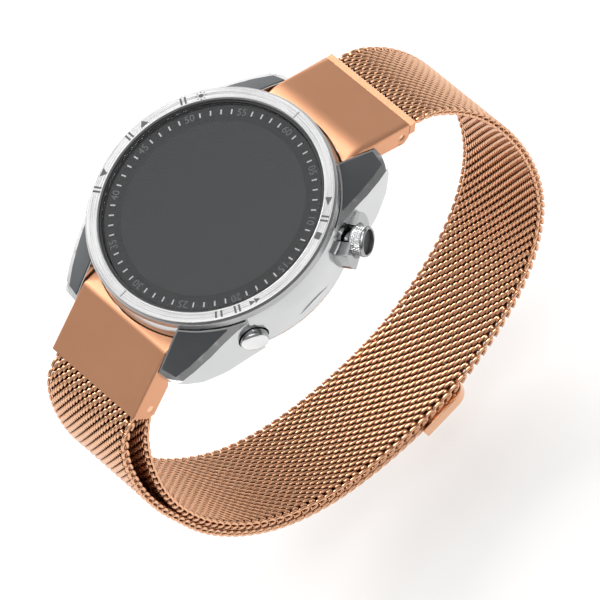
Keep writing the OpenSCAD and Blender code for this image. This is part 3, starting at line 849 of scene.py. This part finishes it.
def outline_of(node):
    """The Y-Z outline of a CAD ribbon, as an ordered loop of points in mm."""
    mesh = frame["nodes"][node].data
    face_x = max(v.co.x for v in mesh.vertices) - 0.01 * MM
    neighbours, counts = {}, {}
    for polygon in mesh.polygons:
        if all(mesh.vertices[i].co.x > face_x for i in polygon.vertices):
            points = [tuple(round(c / MM, 3) for c in mesh.vertices[i].co.yz) for i in polygon.vertices]
            for a, b in zip(points, points[1:] + points[:1]):
                counts[frozenset((a, b))] = counts.get(frozenset((a, b)), 0) + 1
    for edge, count in counts.items():
        if count == 1 and len(edge) == 2:
            a, b = edge
            neighbours.setdefault(a, []).append(b)
            neighbours.setdefault(b, []).append(a)
    start = next(iter(neighbours))
    loop, previous = [start], None
    while True:
        following = [p for p in neighbours[loop[-1]] if p != previous]
        previous = loop[-1]
        if not following or following[0] == start:
            break
        loop.append(following[0])
    return [np.array(p) for p in loop]


def centreline(node):
    """The middle line of a CAD ribbon: from its square end, pairs of outline points face each other."""
    loop = outline_of(node)
    count = len(loop)
    tolerance = 0.03 * STRAP_THICKNESS
    best = []
    for first in range(count):
        middle = []
        for k in range(count // 2):
            a, b = loop[(first - k) % count], loop[(first + 1 + k) % count]
            if abs(np.linalg.norm(a - b) - STRAP_THICKNESS) > tolerance:
                break
            middle.append((a + b) / 2)
        if len(middle) > len(best):
            best = middle
    return np.array(best)


def smooth_route(points, spacing=0.05):
    """Points at equal spacing along a smooth curve through the given ones, and the outward normals."""
    padded = np.vstack([2 * points[0] - points[1], points, 2 * points[-1] - points[-2]])
    fine = []
    for i in range(len(points) - 1):
        p0, p1, p2, p3 = padded[i:i + 4]
        for t in np.linspace(0, 1, 24, endpoint=False):
            fine.append(0.5 * (2 * p1 + (p2 - p0) * t + (2 * p0 - 5 * p1 + 4 * p2 - p3) * t * t
                               + (3 * p1 - p0 - 3 * p2 + p3) * t ** 3))
    fine = np.array(fine + [points[-1]])
    steps = np.linalg.norm(np.diff(fine, axis=0), axis=1)
    along = np.concatenate([[0], np.cumsum(steps)])
    even = np.arange(0, along[-1], spacing)
    route = np.stack([np.interp(even, along, fine[:, k]) for k in (0, 1)], axis=1)
    tangent = np.gradient(route, axis=0)
    window = np.ones(9) / 9
    for k in (0, 1):
        tangent[:, k] = np.convolve(np.pad(tangent[:, k], 4, mode="edge"), window, mode="valid")
    tangent /= np.linalg.norm(tangent, axis=1)[:, None]
    normal = np.stack([-tangent[:, 1], tangent[:, 0]], axis=1)
    return even, route, normal


def coil_turns(row, half_width_x):
    """Turn angle and place across the strap along one coil. Every other coil ends in a closed curl."""
    shorter = row % 2
    reach = half_width_x - (TURN_PITCH / 2 if shorter else CURL_ADVANCE)
    straight = np.arange(-reach, reach, TURN_PITCH / STEPS_PER_TURN)
    theta = 2 * math.pi * straight / TURN_PITCH
    x = straight
    if not shorter:
        curl = np.arange(1, int(CURL_TURNS * STEPS_PER_TURN) + 1)
        step = 2 * math.pi / STEPS_PER_TURN
        drift = CURL_ADVANCE * curl / len(curl)
        theta = np.concatenate([theta[0] - step * curl[::-1], theta, theta[-1] + step * curl])
        x = np.concatenate([x[0] - drift[::-1], x, x[-1] + drift])
    return theta + math.pi * shorter, x


def coil_wire(row, half_width_x, half_thickness, route):
    """Rings of points of one flat coil that runs across the strap, and each point's share from 0, full painted
    shade deep in the weave, to 1, none at the strap's faces and edges.
    """
    even, path, normal = route
    theta, x = coil_turns(row, half_width_x)
    s = row * ROW_PITCH + COIL_HALF_WIDTH * np.cos(theta)
    rise = -half_thickness * np.sin(theta)
    y, z = (np.interp(s, even, path[:, k]) for k in (0, 1))
    ny, nz = (np.interp(s, even, normal[:, k]) for k in (0, 1))
    points = np.stack([x, y + ny * rise, z + nz * rise], axis=1)
    direction = np.gradient(points, axis=0)
    direction /= np.linalg.norm(direction, axis=1)[:, None]
    first = np.cross(direction, (1, 0, 0))
    first /= np.linalg.norm(first, axis=1)[:, None]
    second = np.cross(direction, first)
    spokes = 2 * math.pi * np.arange(WIRE_SIDES) / WIRE_SIDES
    around = WIRE_R * (np.cos(spokes)[None, :, None] * first[:, None]
                       + np.sin(spokes)[None, :, None] * second[:, None])
    # painted shade: points near the strap's middle plane get the dark colour, except in a band along the edges
    depth = np.abs(rise[:, None] + around[:, :, 1] * ny[:, None] + around[:, :, 2] * nz[:, None])
    edge = np.abs(points[:, :1] + around[:, :, 0]) - (half_width_x - UNSHADED_EDGE)
    unshaded = np.clip(np.maximum((depth - PAINTED_SHADE_DEPTH[0]) / (PAINTED_SHADE_DEPTH[1] - PAINTED_SHADE_DEPTH[0]), edge), 0, 1)
    return points[:, None] + around, unshaded


def weave(name, rows, route, half_width_x, half_thickness):
    """A piece of mesh: one coil for each row, every other one half a turn on."""
    all_verts, all_faces, shades, offset = [], [], [], 0
    for row in rows:
        rings, unshaded = coil_wire(row, half_width_x, half_thickness, route)
        count = len(rings)
        all_verts.append(rings.reshape(-1, 3))
        shades.append(unshaded.reshape(-1))
        index = offset + np.arange(count * WIRE_SIDES).reshape(count, WIRE_SIDES)
        after = np.roll(index, -1, axis=1)
        quads = np.stack([index[:-1], after[:-1], after[1:], index[1:]], axis=-1).reshape(-1, 4)
        all_faces += [tuple(q) for q in quads.tolist()]
        all_faces += [tuple(index[0][::-1].tolist()), tuple(index[-1].tolist())]
        offset += count * WIRE_SIDES
    piece = make_piece(name, np.vstack(all_verts).tolist(), all_faces, ROSE_WIRE)
    # each point's share of painted shade, read by the wire material
    attribute = piece.data.attributes.new("unshaded", "FLOAT", "POINT")
    attribute.data.foreach_set("value", np.concatenate(shades))
    return piece


def strap_route():
    """The strap's middle line from the 12 o'clock end to the tail's free end."""
    fixed = centreline("mesh_strap")
    tail = centreline("mesh_tail")
    if fixed[0][0] < 0:
        fixed = fixed[::-1]
    if tail[0][0] > tail[-1][0]:
        tail = tail[::-1]
    return smooth_route(np.vstack([fixed, tail]))


def peel_place(route):
    """How far along the strap the clasp's hinge line lies. It is in the second half."""
    even, path, _ = route
    hinge = np.array(JOINTS["clasp_peel"]["pos_m"])[1:] / MM
    distance = np.linalg.norm(path - hinge, axis=1)
    distance[:len(path) // 2] = np.inf
    return even[int(np.argmin(distance))]


def build_strap():
    """The woven strap along the CAD ribbon, in pieces, with its last stretch, from a little before the clasp's
    hinge line, as a piece of its own.
    """
    route = strap_route()
    half_x = high("mesh_strap").x - WIRE_R
    half_thickness = STRAP_THICKNESS / 2 - WIRE_R
    end_gap, bend, margin = 0.6, 7.0, 2
    peel_s = peel_place(route)
    rows = range(1, int((route[0][-1] - end_gap) / ROW_PITCH))
    tail_rows = [row for row in rows if row * ROW_PITCH > peel_s - bend - margin]
    body_rows = [row for row in rows if row < tail_rows[0]]
    names = ["strap_top", "strap_right", "strap_bottom", "strap_left", "strap_loop", "strap_outer"]
    share = math.ceil(len(body_rows) / len(names))
    for k, name in enumerate(names):
        piece = weave(name, body_rows[k * share:(k + 1) * share], route, half_x, half_thickness)
        if k == 0:
            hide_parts("mesh_strap")
        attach(piece, "case")
    end = weave("strap_tail", tail_rows, route, half_x, half_thickness)
    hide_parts("mesh_tail")

    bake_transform(end)


# ------------------------------------------------------------------ the whole watch

build_camera()
build_studio()
paint_frame()
build_bezel()
build_glass()
build_dial()
build_start_button()
for button in ("back", "down", "up", "light"):
    build_plain_button(button)
softened("mid_case", STEEL_CASE, 0.22)
softened("lug_inlays", SLATE, 0.10, 2)
# the guard's steel is darkened with painted shade
softened("start_guard", STEEL_PAINTED_SHADE, 0.25)
softened("adapter_12", ROSE_MATTE, 0.28, prepare=lambda bm: round_long_edges(bm, 1.1))
softened("adapter_6", ROSE_MATTE, 0.28, prepare=lambda bm: round_long_edges(bm, 0.4))
softened("end_clip", ROSE_MATTE, 0.42, 4, prepare=cut_clip_lip)
softened("clasp_plate", ROSE_BRIGHT, 0.35)
softened("case_back", POLYMER, 0.12, 2)
build_strap()
